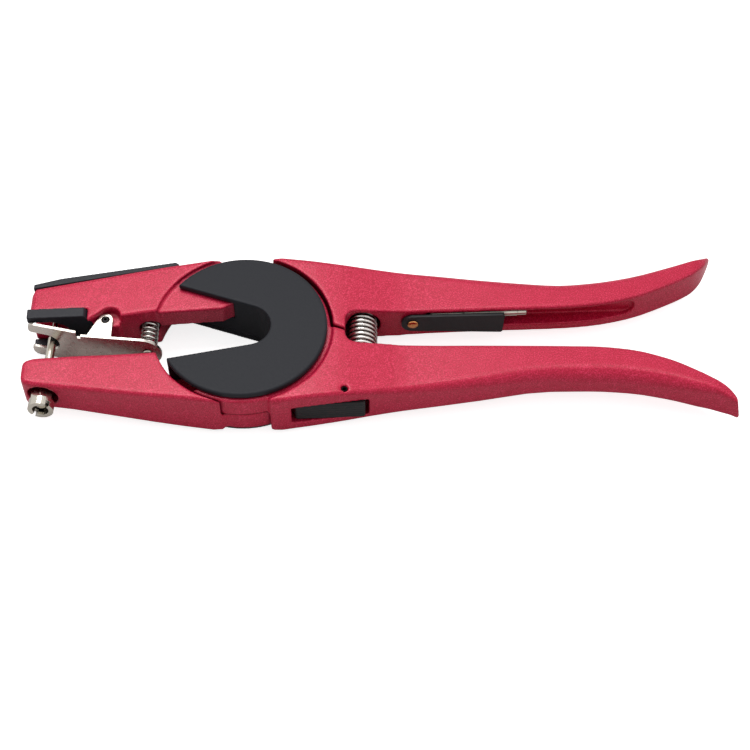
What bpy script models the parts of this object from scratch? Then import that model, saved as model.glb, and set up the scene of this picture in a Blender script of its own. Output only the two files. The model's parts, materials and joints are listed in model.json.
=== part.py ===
"""Ear tag applicator: ring-joint pliers that press the two halves of an ear tag together.

Two cast levers turn on an open ring joint. The anvil lever is the upper jaw and the lower
handle, and the pin lever is the lower jaw and the upper handle. Run it with
blender --background --python part.py, or from the text editor. Units are metres, +Z up.
"""

from math import atan2, copysign, cos, floor, pi, radians, sin

import bmesh
import bpy
from mathutils import Matrix, Vector

for leftover in list(bpy.data.objects):
    bpy.data.objects.remove(leftover)

# Fits
SEAT_GAP = 0.0003
ARM_CLEARANCE = 0.0008
STRAP_GAP = 0.00015

# Reach from the ring joint's axis to the jaws' nose and to the handles' tips
NOSE_REACH = 0.0750
HANDLE_REACH = 0.1694
END_ROUND = 0.0013
END_HALF = 0.0045
END_LEAN = 0.0014
SHOULDER_HEIGHT = 0.0312
BELLY_DEPTH = 0.0310
TIP_HEIGHT = 0.0364

# Ring joint
HUB_RADIUS = 0.0302
HUB_BORE = 0.0118
HUB_HALF = 0.0082
RIM_CHAMFER = 0.0005
HUB_GAP = 0.00014
SHOULDER_ROUND = 0.0016
JAW_ROUND = 0.0008
LEVER_HALF = 0.0096
OPENING = radians(26.0)

# Throat, the slot that lets the animal's ear reach the axis
THROAT_RADIUS = 0.0083
THROAT_CENTRE = Vector((0.0012, 0.0002))
THROAT_UPPER = radians(19.0)
THROAT_LOWER = radians(11.8)
LINER_WALL = 0.0016

# Hub covers
COVER_RADIUS = 0.0290
COVER_THICKNESS = 0.0021
COVER_EDGE = 0.0004
COVER_SCREW_CIRCLE = 0.0205
COVER_SCREW_ANGLES = (radians(75.0), radians(-15.0), radians(-95.0))
COVER_SCREW_RADIUS = 0.0014
COVER_SCREW_HEAD = 0.0027
COVER_SCREW_LENGTH = 0.0070
COVER_PEG_CIRCLE = 0.0205
COVER_PEG_ANGLES = (radians(30.0), radians(-55.0))
COVER_PEG_RADIUS = 0.0015
COVER_PEG_LENGTH = 0.0040

# Handle spring and the gap that it crosses
SPRING_X = 0.0409
SPRING_RADIUS = 0.0054
SPRING_WIRE = 0.0007
SPRING_TURNS = 15
SPRING_POCKET_CLEARANCE = 0.0009
UPPER_SHELF = 0.0081
LOWER_SHELF = 0.0053
SHELF_END = 0.0560
UPPER_SHELF_SLOPE = 0.04
SPRING_POCKET_DEPTH = 0.0076
STOP_X = 0.0351
STOP_GAP = 0.0008
STOP_SLOPE = 0.32
STEP_FILLET = 0.0040

# Upper jaw
JAW_TOP_Y = 0.0172
JAW_TOP_SLOPE = 0.207
JAW_NOSE_X = -0.0744
ANVIL_NOSE_HALF = 0.0088
NOTCH_END_X = -0.0525

# Tag insert
INSERT_HALF = 0.0085
INSERT_WEB_HALF = 0.0020
INSERT_STRIP_END = -0.0239
INSERT_HOLE = 0.0018
FORK_HALF = 0.0102
FORK_THICKNESS = 0.0039
FORK_PRONG = 0.0030
FORK_LENGTH = 0.0221
FORK_BACK = 0.0078
FORK_BEVEL = 0.0025
FORK_BEVEL_WIDTH = 0.0050
FORK_TILT = radians(2.9)
FORK_Y = 0.0056

# Tag clip
CLIP_X = -0.0481
CLIP_Y = 0.0050
CLIP_SHEET = 0.0010
CLIP_FORK_HALF = 0.0086
CLIP_HALF = 0.0069
CLIP_SLOT_HALF = 0.0042
CLIP_SLOT_LENGTH = 0.0104
CLIP_FRONT = -0.0267
CLIP_BEND = -0.0091
CLIP_REAR = 0.0197
CLIP_DROP = 0.0061
CLIP_FRONT_RISE = 0.0042
CLIP_REAR_DROP = 0.0027
CLIP_EAR_RADIUS = 0.0025
CLIP_PIN_RADIUS = 0.0012
CLIP_PIN_BORE = 0.0006
CLIP_PIN_BORE_DEPTH = 0.0015
CLIP_ARCH_X = 0.0017
CLIP_ARCH_RADIUS = 0.0037
CLIP_SPRING_X = 0.0147
CLIP_SPRING_RADIUS = 0.0027
CLIP_SPRING_WIRE = 0.00045
CLIP_SPRING_TURNS = 5
CLIP_POCKET_RADIUS = 0.0037
CLIP_POCKET_Y = 0.0098
CLIP_STUD_RADIUS = 0.0016
CLIP_STUD_HOLE = 0.0007

# Lower jaw and the applicator pin
PIN_NOSE_HALF = 0.0070
PIN_X = -0.0675
PIN_Y = -0.0105
PIN_TILT = radians(2.0)
PIN_RADIUS = 0.00155
PIN_NEEDLE_RADIUS = 0.00095
PIN_SHOULDER = 0.0123
PIN_LENGTH = 0.0245
PIN_FLANGE_RADIUS = 0.0034
PIN_FLANGE_DEPTH = 0.0068
PIN_FLANGE = 0.0014
PIN_RECESS_RADIUS = 0.0052
NUT_RADIUS = 0.0044
NUT_FLATS = 0.0070
NUT_HEX = 0.0060
NUT_RIM = 0.0028
NUT_CUP_RADIUS = 0.0028
NUT_CUP_DEPTH = 0.0030
NUT_SLOT_WIDTH = 0.0014
NUT_SLOT_DEPTH = 0.0018
NUT_TURN = radians(-49.0)

# Spare pin store in the upper handle
STRAP_X = 0.0586
STRAP_LENGTH = 0.0320
STRAP_END_HALF = 0.0049
STRAP_PIVOT_HALF = 0.0040
STRAP_THICKNESS = 0.0011
STRAP_SKEW = radians(2.5)
RIVET_RADIUS = 0.0013
RIVET_HEAD = 0.0020
RIVET_DOME = 0.0007
RIVET_LENGTH = 0.0060
CHANNEL_START = 0.0045
CHANNEL_END = 0.0785
CHANNEL_HALF = 0.0041
CHANNEL_DEPTH = 0.0052
SPARE_PIN_START = 0.0060
SPARE_PIN_LENGTH = 0.0340
SPARE_PIN_Z = 0.0014
STORE_Z = 0.0012

# Handle lock in the lower handle
LOCK_X = 0.0351
LOCK_Y = -0.0250
LOCK_SLOPE = radians(7.8)
LOCK_DEPTH = 0.0022
LOCK_PIN_RADIUS = 0.0009
LOCK_LEFT = -0.0184
LOCK_RIGHT = 0.0081
LOCK_LOW = -0.0056
LOCK_HIGH = 0.0034
LOCK_FLOOR = 0.0026
LOCK_END_GAP = 0.0013
LOCK_SINK = 0.0012
LOCK_RISE = 0.0009
LOCK_PIN_SINK = 0.0040
LOCK_NOSE_LENGTH = 0.0030
LOCK_NOSE_REACH = 0.0025
LOCK_NOTCH_DEPTH = 0.0016
LOCK_RIB_PITCH = 0.0013
LOCK_RIB_DEPTH = 0.00035
LOCK_SPRING_X = 0.0048
LOCK_SPRING_RADIUS = 0.0014
LOCK_SPRING_WIRE = 0.00028
LOCK_SPRING_TURNS = 5
LOCK_SPRING_DEPTH = 0.0036

MIDDLE_Z = HUB_HALF + SEAT_GAP + COVER_THICKNESS
HUB_PLACE = Vector(((NOSE_REACH - HANDLE_REACH) / 2, (BELLY_DEPTH - TIP_HEIGHT) / 2, MIDDLE_Z))
CLIP_INNER = CLIP_HALF - CLIP_SHEET
PIVOT_LENGTH = CLIP_HALF + SEAT_GAP
RING_STEPS = 96


def stop_y(x, side):
    """Height of the slanted faces where the handles meet, on one side of their gap."""
    return (STOP_X - x) * STOP_SLOPE + side * STOP_GAP / 2


# Each station of a limb: x, top, bottom, half thickness, radii of the top and bottom edges
UPPER_GRIP = (
    (0.0085, SHOULDER_HEIGHT, stop_y(0.0085, 1), LEVER_HALF, 0.0012, 0.0008),
    (0.0200, 0.0299, stop_y(0.0200, 1), LEVER_HALF, 0.0012, 0.0008),
    (0.0330, 0.0284, stop_y(0.0330, 1), 0.0090, 0.0013, 0.0006),
    (0.0440, 0.0273, stop_y(0.0440, 1), 0.0080, 0.0016, 0.0006),
    (SHELF_END, 0.0262, UPPER_SHELF + 0.0003, 0.0071, 0.0020, 0.0003),
    (0.0660, 0.0253, 0.0089, 0.0069, 0.0022, 0.0006),
    (0.0810, 0.0239, 0.0095, 0.0068, 0.0028, 0.0008),
    (0.0960, 0.0226, 0.0101, 0.0068, 0.0032, 0.0008),
    (0.1100, 0.0218, 0.0107, 0.0068, 0.0035, 0.0008),
    (0.1210, 0.0227, 0.0117, 0.0068, 0.0035, 0.0008),
    (0.1350, 0.0251, 0.0147, 0.0068, 0.0032, 0.0008),
    (0.1500, 0.0293, 0.0210, 0.0068, 0.0022, 0.0008),
    (0.1580, TIP_HEIGHT - 0.0048, TIP_HEIGHT - 0.0109, 0.0068, 0.0010, 0.0007),
    (0.1605, TIP_HEIGHT - 0.0040, TIP_HEIGHT - 0.0088, 0.0065, 0.0008, 0.0006),
    (0.1626, TIP_HEIGHT - 0.0028, TIP_HEIGHT - 0.0065, 0.0055, 0.0007, 0.0005),
    (0.1645, TIP_HEIGHT - 0.0009, TIP_HEIGHT - 0.0032, 0.0035, 0.0006, 0.0004),
    (0.1656, TIP_HEIGHT, TIP_HEIGHT - 0.0009, 0.0015, 0.0003, 0.0003),
)
LOWER_GRIP = (
    (0.0095, stop_y(0.0095, -1), -SHOULDER_HEIGHT, LEVER_HALF, 0.0008, 0.0012),
    (0.0200, stop_y(0.0200, -1), -0.0294, LEVER_HALF, 0.0008, 0.0012),
    (0.0330, stop_y(0.0330, -1), -0.0275, 0.0090, 0.0008, 0.0013),
    (0.0440, stop_y(0.0440, -1), -0.0260, 0.0080, 0.0006, 0.0016),
    (SHELF_END, -LOWER_SHELF - 0.0005, -0.0246, 0.0071, 0.0003, 0.0021),
    (0.0660, -0.0057, -0.0234, 0.0069, 0.0006, 0.0025),
    (0.0810, -0.0055, -0.0214, 0.0068, 0.0009, 0.0032),
    (0.1060, -0.0056, -0.0181, 0.0068, 0.0009, 0.0042),
    (0.1200, -0.0058, -0.0181, 0.0068, 0.0009, 0.0045),
    (0.1330, -0.0071, -0.0189, 0.0068, 0.0009, 0.0045),
    (0.1460, -0.0110, -0.0211, 0.0068, 0.0009, 0.0040),
    (0.1560, -0.0162, -0.0234, 0.0068, 0.0009, 0.0028),
    (0.1605, -0.0190, -0.0244, 0.0067, 0.0008, 0.0022),
    (0.1640, -0.0213, -0.0258, 0.0061, 0.0007, 0.0016),
    (0.1665, -0.0238, -0.0271, 0.0053, 0.0006, 0.0012),
    (0.1682, -0.0262, -0.0283, 0.0046, 0.0005, 0.0008),
    (HANDLE_REACH + 0.0003, -0.0277, -0.0291, 0.0045, 0.0004, 0.0005),
)
UPPER_JAW = (
    (JAW_NOSE_X, 0.0150, 0.0010, 0.0078, 0.0006, 0.0006),
    (JAW_NOSE_X + 0.0012, JAW_TOP_Y, 0.0006, ANVIL_NOSE_HALF, 0.0010, 0.0008),
    (-0.0500, JAW_TOP_Y + 0.0232 * JAW_TOP_SLOPE, 0.0040, ANVIL_NOSE_HALF + 0.0004, 0.0009, 0.0008),
    (-0.0290, JAW_TOP_Y + 0.0442 * JAW_TOP_SLOPE, 0.0071, LEVER_HALF, 0.0009, 0.0008),
    (-0.0083, 0.0303, 0.0100, LEVER_HALF, 0.0009, 0.0008),
)
LOWER_JAW = (
    (-NOSE_REACH, -0.0136, -0.0189, PIN_NOSE_HALF - 0.0008, 0.0010, 0.0012),
    (-0.0747, -0.0127, -0.0202, PIN_NOSE_HALF - 0.0003, 0.0012, 0.0014),
    (-0.0738, -0.0119, -0.0213, PIN_NOSE_HALF - 0.0001, 0.0012, 0.0014),
    (-0.0715, -0.0111, -0.0220, PIN_NOSE_HALF, 0.0012, 0.0014),
    (-0.0580, -0.0101, -0.0237, PIN_NOSE_HALF + 0.0001, 0.0012, 0.0013),
    (-0.0450, -0.0100, -0.0256, 0.0078, 0.0012, 0.0012),
    (-0.0300, -0.0096, -0.0278, 0.0087, 0.0012, 0.0012),
    (-0.0200, -0.0096, -0.0291, 0.0093, 0.0012, 0.0012),
    (-0.0055, -0.0100, -BELLY_DEPTH, LEVER_HALF, 0.0012, 0.0012),
)


def new_collection(name):
    group = bpy.data.collections.new(name)
    bpy.context.scene.collection.children.link(group)
    return group


parts = new_collection("ear_tag_applicator")
cutters = new_collection("cutters")


def material(name, colour, roughness, metallic):
    """Plain Principled finish for one sub-part."""
    finish = bpy.data.materials.new(name)
    finish.use_nodes = True
    shader = finish.node_tree.nodes["Principled BSDF"]
    shader.inputs["Base Color"].default_value = (*colour, 1.0)
    shader.inputs["Roughness"].default_value = roughness
    shader.inputs["Metallic"].default_value = metallic
    return finish


def frame(name, place, turn=0.0, parent=None):
    """Empty that carries one body, turned about Z."""
    empty = bpy.data.objects.new(name, None)
    empty.location = place
    empty.rotation_euler = (0.0, 0.0, turn)
    empty.empty_display_size = 0.01
    empty.parent = parent
    cutters.objects.link(empty)
    return empty


def part(name, mesh, parent, finish):
    """Visible sub-part, shaded smooth across its shallow edges."""
    body = bpy.data.objects.new(name, mesh)
    body.parent = parent
    parts.objects.link(body)
    body.data.materials.append(finish)
    return body


def tool(name, mesh, parent):
    """Hidden shape that is cut from a part or joined to it."""
    shape = bpy.data.objects.new(name, mesh)
    shape.parent = parent
    shape.hide_render = True
    shape.display_type = "WIRE"
    cutters.objects.link(shape)
    return shape


def combine(body, shape, operation):
    step = body.modifiers.new(shape.name, "BOOLEAN")
    step.operation = operation
    step.object = shape
    step.solver = "EXACT"


def join(body, *shapes):
    for shape in shapes:
        combine(body, shape, "UNION")


def cut(body, *shapes):
    for shape in shapes:
        combine(body, shape, "DIFFERENCE")


def close_mesh(bm, name):
    bmesh.ops.recalc_face_normals(bm, faces=bm.faces)
    mesh = bpy.data.meshes.new(name)
    bm.to_mesh(mesh)
    bm.free()
    return mesh


def plate(outline, low, high):
    """Flat solid with the given XY outline, from low to high along Z."""
    curve = bpy.data.curves.new("outline", "CURVE")
    curve.dimensions = "2D"
    curve.fill_mode = "BOTH"
    curve.extrude = (high - low) / 2
    line = curve.splines.new("POLY")
    line.points.add(len(outline) - 1)
    for point, (x, y) in zip(line.points, outline):
        point.co = (x, y, 0.0, 1.0)
    line.use_cyclic_u = True
    sketch = bpy.data.objects.new("outline", curve)
    cutters.objects.link(sketch)
    view = bpy.context.evaluated_depsgraph_get()
    mesh = bpy.data.meshes.new_from_object(sketch.evaluated_get(view))
    bpy.data.objects.remove(sketch)
    bm = bmesh.new()
    bm.from_mesh(mesh)
    bmesh.ops.remove_doubles(bm, verts=bm.verts, dist=1e-7)
    bmesh.ops.translate(bm, verts=bm.verts, vec=(0.0, 0.0, (low + high) / 2))
    return close_mesh(bm, "plate")


def floor_plate(outline, low, high):
    """Flat solid with the given XZ outline, from low to high along Y."""
    mesh = plate(outline, -high, -low)
    mesh.transform(Matrix.Rotation(pi / 2, 4, "X"))
    return mesh


def rod(start, end, radius, end_radius=None, steps=32):
    """Round bar or cone between two points."""
    start = Vector(start)
    run = Vector(end) - start
    turn = Vector((0.0, 0.0, 1.0)).rotation_difference(run).to_matrix().to_4x4()
    bm = bmesh.new()
    bmesh.ops.create_cone(
        bm,
        cap_ends=True,
        segments=steps,
        radius1=radius,
        radius2=radius if end_radius is None else end_radius,
        depth=run.length,
        matrix=Matrix.Translation(start + run / 2) @ turn,
    )
    return close_mesh(bm, "rod")


def block(low, high):
    """Box between two corners."""
    low = Vector(low)
    high = Vector(high)
    bm = bmesh.new()
    bmesh.ops.create_cube(bm, size=1.0)
    bmesh.ops.scale(bm, verts=bm.verts, vec=high - low)
    bmesh.ops.translate(bm, verts=bm.verts, vec=(low + high) / 2)
    return close_mesh(bm, "block")


def turned(name, profile, parent, finish, place, direction, steps=32):
    """Turned piece: the profile's (radius, height) points run from its top to its bottom."""
    mesh = bpy.data.meshes.new(name)
    edges = [(i, i + 1) for i in range(len(profile) - 1)]
    mesh.from_pydata([(radius, 0.0, height) for radius, height in profile], edges, [])
    body = part(name, mesh, parent, finish)
    body.location = place
    body.rotation_mode = "QUATERNION"
    body.rotation_quaternion = Vector((0.0, 0.0, 1.0)).rotation_difference(Vector(direction))
    spin = body.modifiers.new("spin", "SCREW")
    spin.axis = "Z"
    spin.steps = steps
    spin.render_steps = steps
    spin.use_merge_vertices = True
    spin.merge_threshold = 1e-6
    return body


def coil(name, radius, wire, turns, length, parent, finish, place, direction):
    """Round-wire compression spring from place along direction, closed at both ends."""
    per_turn = 12
    curve = bpy.data.curves.new(name, "CURVE")
    curve.dimensions = "3D"
    curve.bevel_depth = wire
    curve.bevel_resolution = 2
    curve.use_fill_caps = True
    line = curve.splines.new("POLY")
    count = turns * per_turn
    line.points.add(count)
    close = 1.0 / turns
    for i, point in enumerate(line.points):
        share = i / count
        ramp = min(max((share - close / 2) / (1.0 - close), 0.0), 1.0)
        rise = wire + ramp * (length - 4.0 * wire) + 2.0 * wire * share
        angle = 2.0 * pi * i / per_turn
        point.co = (radius * cos(angle), radius * sin(angle), rise, 1.0)
    body = bpy.data.objects.new(name, curve)
    body.parent = parent
    parts.objects.link(body)
    curve.materials.append(finish)
    body.location = place
    body.rotation_mode = "QUATERNION"
    body.rotation_quaternion = Vector((0.0, 0.0, 1.0)).rotation_difference(Vector(direction))
    return body


def arc(centre, radius, start, end, steps):
    """Points on a circle from one angle to another, ends included."""
    return [
        (
            centre[0] + radius * cos(start + (end - start) * i / steps),
            centre[1] + radius * sin(start + (end - start) * i / steps),
        )
        for i in range(steps + 1)
    ]


def eased(stations, steps):
    """Stations with smooth ones between them, never rising past their neighbours."""
    slopes = []
    for i, here in enumerate(stations):
        before = stations[max(i - 1, 0)]
        after = stations[min(i + 1, len(stations) - 1)]
        row = []
        for k in range(1, len(here)):
            left = (here[k] - before[k]) / (here[0] - before[0]) if i > 0 else 0.0
            right = (after[k] - here[k]) / (after[0] - here[0]) if after is not here else 0.0
            inside = 0 < i < len(stations) - 1
            row.append(2.0 * left * right / (left + right) if inside and left * right > 0 else 0.0)
            if not inside:
                row[-1] = left + right
        slopes.append(row)
    out = []
    for i in range(len(stations) - 1):
        first, last = stations[i], stations[i + 1]
        run = last[0] - first[0]
        for s in range(steps):
            t = s / steps
            a = 2 * t**3 - 3 * t**2 + 1
            b = t**3 - 2 * t**2 + t
            c = -2 * t**3 + 3 * t**2
            d = t**3 - t**2
            row = [first[0] + run * t]
            for k in range(1, len(first)):
                rise = b * run * slopes[i][k - 1] + d * run * slopes[i + 1][k - 1]
                row.append(a * first[k] + c * last[k] + rise)
            out.append(row)
    out.append(list(stations[-1]))
    return out


def limb(stations, steps=3, corner_steps=4):
    """Cast arm: rounded rectangles across X, lofted from station to station."""
    bm = bmesh.new()
    rings = []
    for x, top, bottom, half, outer, inner in eased(stations, steps):
        outer = min(outer, 0.49 * (top - bottom), 0.98 * half)
        inner = min(inner, 0.49 * (top - bottom), 0.98 * half)
        corners = (
            (top, half, outer, 0.0),
            (bottom, half, inner, pi / 2),
            (bottom, -half, inner, pi),
            (top, -half, outer, 3 * pi / 2),
        )
        ring = []
        for y, z, edge, turn in corners:
            centre = (y - edge if y == top else y + edge, z - edge if z > 0 else z + edge)
            for dy, dz in arc(centre, edge, turn, turn + pi / 2, corner_steps):
                ring.append(bm.verts.new((x, dy, dz)))
        rings.append(ring)
    for ring, following in zip(rings, rings[1:]):
        for i in range(len(ring)):
            j = (i + 1) % len(ring)
            bm.faces.new((ring[i], ring[j], following[j], following[i]))
    bm.faces.new(rings[0])
    bm.faces.new(rings[-1])
    return close_mesh(bm, "limb")


def throat(spare):
    """Outline of the throat, opened out by spare on every side."""
    reach = 2.0 * HUB_RADIUS
    radius = THROAT_RADIUS + spare
    outline = arc(THROAT_CENTRE, radius, -pi / 2 + THROAT_LOWER, pi / 2 - THROAT_UPPER, 24)
    upper = Vector(outline[-1]) + reach * Vector((-cos(THROAT_UPPER), sin(THROAT_UPPER)))
    lower = Vector(outline[0]) - reach * Vector((cos(THROAT_LOWER), sin(THROAT_LOWER)))
    return [tuple(lower), *outline, tuple(upper)]


def turned_point(point, angle):
    x, y = point
    return (x * cos(angle) - y * sin(angle), x * sin(angle) + y * cos(angle))


red_paint = material("red_paint", (0.60, 0.05, 0.09), 0.45, 0.35)
black_nylon = material("black_nylon", (0.045, 0.045, 0.052), 0.60, 0.0)
black_rubber = material("black_rubber", (0.020, 0.020, 0.022), 0.55, 0.0)
stainless = material("stainless", (0.62, 0.60, 0.57), 0.25, 1.0)
spring_steel = material("spring_steel", (0.55, 0.53, 0.50), 0.28, 1.0)
nickel = material("nickel", (0.66, 0.62, 0.55), 0.22, 1.0)
copper = material("copper", (0.55, 0.27, 0.13), 0.35, 1.0)

hub_axis = frame("hub_axis", HUB_PLACE)
clip_axis = frame("clip_axis", (CLIP_X, CLIP_Y, 0.0), 0.0, hub_axis)
strap_y = UPPER_SHELF + 0.0003 + UPPER_SHELF_SLOPE * (STRAP_X - SHELF_END)
strap_axis = frame("strap_axis", (STRAP_X, strap_y, STORE_Z), UPPER_SHELF_SLOPE, hub_axis)
lock_axis = frame("lock_axis", (LOCK_X, LOCK_Y, 0.0), LOCK_SLOPE, hub_axis)
pin_axis = frame("pin_axis", (PIN_X, PIN_Y, 0.0), -PIN_TILT, hub_axis)


def lever(name, side, jaw, grip):
    """Casting of one lever; side is +1 where its half of the ring joint faces up."""
    spare = 0.0010
    body = part(name, limb(grip), hub_axis, red_paint)
    jaw_blank = tool(name + "_jaw", limb(jaw, 1), hub_axis)
    steep = HUB_HALF - RIM_CHAMFER
    profile = (
        (0.0, HUB_HALF + spare),
        (HUB_RADIUS - RIM_CHAMFER - spare, HUB_HALF + spare),
        (HUB_RADIUS, steep),
        (HUB_RADIUS, -spare),
        (0.0, -spare),
    )
    ring = turned(name + "_ring", profile, hub_axis, red_paint, (0, 0, 0), (0, 0, side), RING_STEPS)
    parts.objects.unlink(ring)
    cutters.objects.link(ring)
    ring.hide_render = True
    ring.display_type = "WIRE"
    join(body, ring, jaw_blank)
    sweep = HUB_RADIUS + ARM_CLEARANCE
    far = 2.0 * LEVER_HALF
    inner = side * HUB_GAP / 2
    cut(
        body,
        tool(name + "_far", rod((0, 0, inner), (0, 0, -side * far), sweep, None, RING_STEPS), hub_axis),
        tool(
            name + "_recess",
            rod((0, 0, side * HUB_HALF), (0, 0, side * far), sweep, None, RING_STEPS),
            hub_axis,
        ),
        tool(name + "_bore", rod((0, 0, -far), (0, 0, far), HUB_BORE, None, 64), hub_axis),
    )
    return body


def spring_step(shelf, side):
    """Cutter above or below the stop: a rounded step down to the spring's shelf."""
    corner = (STOP_X + STEP_FILLET, side * (shelf - STEP_FILLET))
    start = pi if side > 0 else -pi
    rise = 0.0003 if side > 0 else 0.0005
    outline = [(STOP_X, -side * STEP_FILLET)]
    outline += arc(corner, STEP_FILLET, start, side * pi / 2, 8)
    outline += [(SHELF_END, side * (shelf + rise)), (SHELF_END, -side * STEP_FILLET)]
    return plate(outline, -2 * LEVER_HALF, 2 * LEVER_HALF)


def unit(vector):
    return vector / vector.length


def shoulder(far, near, side, radius):
    """Cutter that rounds a limb's corner between its outer edge and its flat end."""
    towards = unit(Vector(near) - Vector(far))
    inward = Vector((-towards.y, towards.x))
    inward *= -side if inward.y > 0 else side
    back = copysign(radius, far[0] - near[0])
    start = Vector(far) + radius * inward
    centre = start + (near[0] + back - start.x) / towards.x * towards
    foot = centre - radius * inward
    touch = Vector((near[0], centre.y))
    begin = atan2(-inward.y, -inward.x)
    turn = (atan2(0.0, -back) - begin + pi) % (2 * pi) - pi
    away = -2 * radius * inward
    outline = [foot + away, foot] + arc(centre, radius, begin, begin + turn, 5)[1:]
    outline += [touch - Vector((0.5 * back, 0)), foot + 2 * radius * towards + away]
    return plate([(p[0], p[1]) for p in outline], -2 * LEVER_HALF, 2 * LEVER_HALF)


def grip_end():
    """Cutter that leaves the lower handle's blunt, leaning end with round corners."""
    top = (HANDLE_REACH - END_LEAN - END_ROUND, END_HALF + 0.0006 - END_ROUND)
    low = (HANDLE_REACH - END_ROUND, END_ROUND - END_HALF)
    wide = 4 * END_HALF
    lean = radians(8.0)
    outline = [(top[0], wide)] + arc(top, END_ROUND, radians(75.0), lean, 5)
    outline += arc(low, END_ROUND, lean, radians(-75.0), 6) + [(low[0], -wide)]
    outline += [(HANDLE_REACH + wide, -wide), (HANDLE_REACH + wide, wide)]
    return floor_plate(outline, -0.0500, 0.0)


def spring_pocket(shelf, side):
    radius = SPRING_RADIUS + SPRING_POCKET_CLEARANCE
    top = side * (shelf + SPRING_POCKET_DEPTH)
    return rod((SPRING_X, side * (shelf - STEP_FILLET), 0), (SPRING_X, top, 0), radius)


def both_sides(outline, inner, outer):
    """The same plate on the front and on the back."""
    return plate(outline, inner, outer), plate(outline, -outer, -inner)


def make_anvil_lever():
    body = lever("anvil_lever_casting", 1.0, UPPER_JAW, LOWER_GRIP)
    deep = 2.0 * LEVER_HALF
    jaw_corner = shoulder(UPPER_JAW[-2][:2], UPPER_JAW[-1][:2], 1.0, JAW_ROUND)
    grip_corner = shoulder(LOWER_GRIP[1][:3:2], LOWER_GRIP[0][:3:2], -1.0, SHOULDER_ROUND)
    cut(body, tool("anvil_jaw_shoulder", jaw_corner, hub_axis))
    cut(body, tool("anvil_grip_shoulder", grip_corner, hub_axis))
    cut(body, tool("anvil_grip_end", grip_end(), hub_axis))
    # Tongue in the throat, and the ring's other end held back by the lever's travel
    tongue_left = (-HUB_RADIUS, 0.0071)
    end_spare = LINER_WALL + 2.0 * SEAT_GAP
    line = throat(end_spare)
    stop_far, stop_near = (turned_point(p, OPENING) for p in line[:2])
    edge = -HUB_RADIUS - 0.0004
    share = (edge - stop_near[0]) / (stop_far[0] - stop_near[0])
    stop_edge = (edge, stop_near[1] + share * (stop_far[1] - stop_near[1]))
    outline = [(-0.0050, 0.0093), tongue_left, (edge, tongue_left[1]), stop_edge, stop_near]
    cut(body, tool("anvil_throat", plate(outline, -deep, deep), hub_axis))
    cut(body, tool("anvil_step", spring_step(LOWER_SHELF, -1.0), hub_axis))
    cut(body, tool("anvil_pocket", spring_pocket(LOWER_SHELF, -1.0), hub_axis))
    # Boss and recesses for the clip's ears
    boss = [(-0.0045, 0.0010), (-0.0036, -0.0026), (0.0050, -0.0018), (0.0050, 0.0020)]
    half = CLIP_INNER - SEAT_GAP
    join(body, tool("clip_boss", plate(boss, -half, half), clip_axis))
    # Notch for the insert's fork and slot for its web
    notch = tool("fork_notch", fork_notch(), hub_axis)
    combine(notch, tool("fork_notch_plan", fork_notch_plan(), hub_axis), "INTERSECT")
    cut(body, notch)
    cut(body, tool("web_slot", plate(web_outline(SEAT_GAP), *slot_span()), hub_axis))
    for label, shape in zip(("front", "back"), both_sides(clip_arch(), half, deep)):
        cut(body, tool("clip_recess_" + label, shape, clip_axis))
    hole = CLIP_PIN_RADIUS + SEAT_GAP
    cut(body, tool("clip_pin_hole", rod((0, 0, -deep), (0, 0, deep), hole, None, 20), clip_axis))
    pocket = rod((CLIP_SPRING_X, -0.0030, 0), (CLIP_SPRING_X, CLIP_POCKET_Y - CLIP_Y, 0), CLIP_POCKET_RADIUS)
    cut(body, tool("clip_spring_pocket", pocket, clip_axis))
    # Lock window, the slot for its nose, its pivot hole and its spring's pocket
    window = block((LOCK_LEFT, -0.0080, LOCK_LOW), (LOCK_RIGHT, LOCK_FLOOR, LOCK_HIGH))
    nose_end = LOCK_LEFT + LOCK_NOSE_LENGTH + 2 * LOCK_END_GAP
    nose = block((LOCK_LEFT, LOCK_FLOOR - 0.0004, LOCK_LOW), (nose_end, 0.0080, -SEAT_GAP))
    cut(body, tool("lock_window", window, lock_axis))
    cut(body, tool("lock_nose_slot", nose, lock_axis))
    pin_hole = rod((0, 0, -deep), (0, 0, deep), LOCK_PIN_RADIUS + SEAT_GAP, None, 20)
    cut(body, tool("lock_pin_hole", pin_hole, lock_axis))
    spring_end = LOCK_FLOOR + LOCK_SPRING_DEPTH
    seat = rod(
        (LOCK_SPRING_X, 0.0, lock_middle()),
        (LOCK_SPRING_X, spring_end, lock_middle()),
        LOCK_SPRING_RADIUS + LOCK_SPRING_WIRE + SEAT_GAP,
        None,
        20,
    )
    cut(body, tool("lock_spring_pocket", seat, lock_axis))
    return body


def slot_span():
    half = INSERT_WEB_HALF + SEAT_GAP
    return -half, half


def fork_y(x):
    """Middle of the insert's fork at x."""
    return FORK_Y + (x - NOTCH_END_X + FORK_LENGTH / 2) * sin(FORK_TILT)


def fork_notch():
    left = 2 * JAW_NOSE_X
    top_left = fork_y(left) + FORK_THICKNESS / 2 + SEAT_GAP
    top_right = fork_y(NOTCH_END_X) + FORK_THICKNESS / 2 + SEAT_GAP
    outline = [(left, -0.0200), (NOTCH_END_X, -0.0200), (NOTCH_END_X, top_right), (left, top_left)]
    return plate(outline, -2 * LEVER_HALF, 2 * LEVER_HALF)


def fork_notch_plan():
    """Plan of the notch, which follows the fork's bevelled corners."""
    left = 3 * JAW_NOSE_X
    flat = FORK_HALF - FORK_BEVEL_WIDTH
    wide = 2 * FORK_HALF
    slant = FORK_BEVEL / FORK_BEVEL_WIDTH
    back = NOTCH_END_X - (wide - flat) * slant
    end = NOTCH_END_X
    outline = [(left, -wide), (back, -wide), (end, -flat), (end, flat), (back, wide), (left, wide)]
    return floor_plate(outline, -0.0400, 0.0400)


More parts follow.
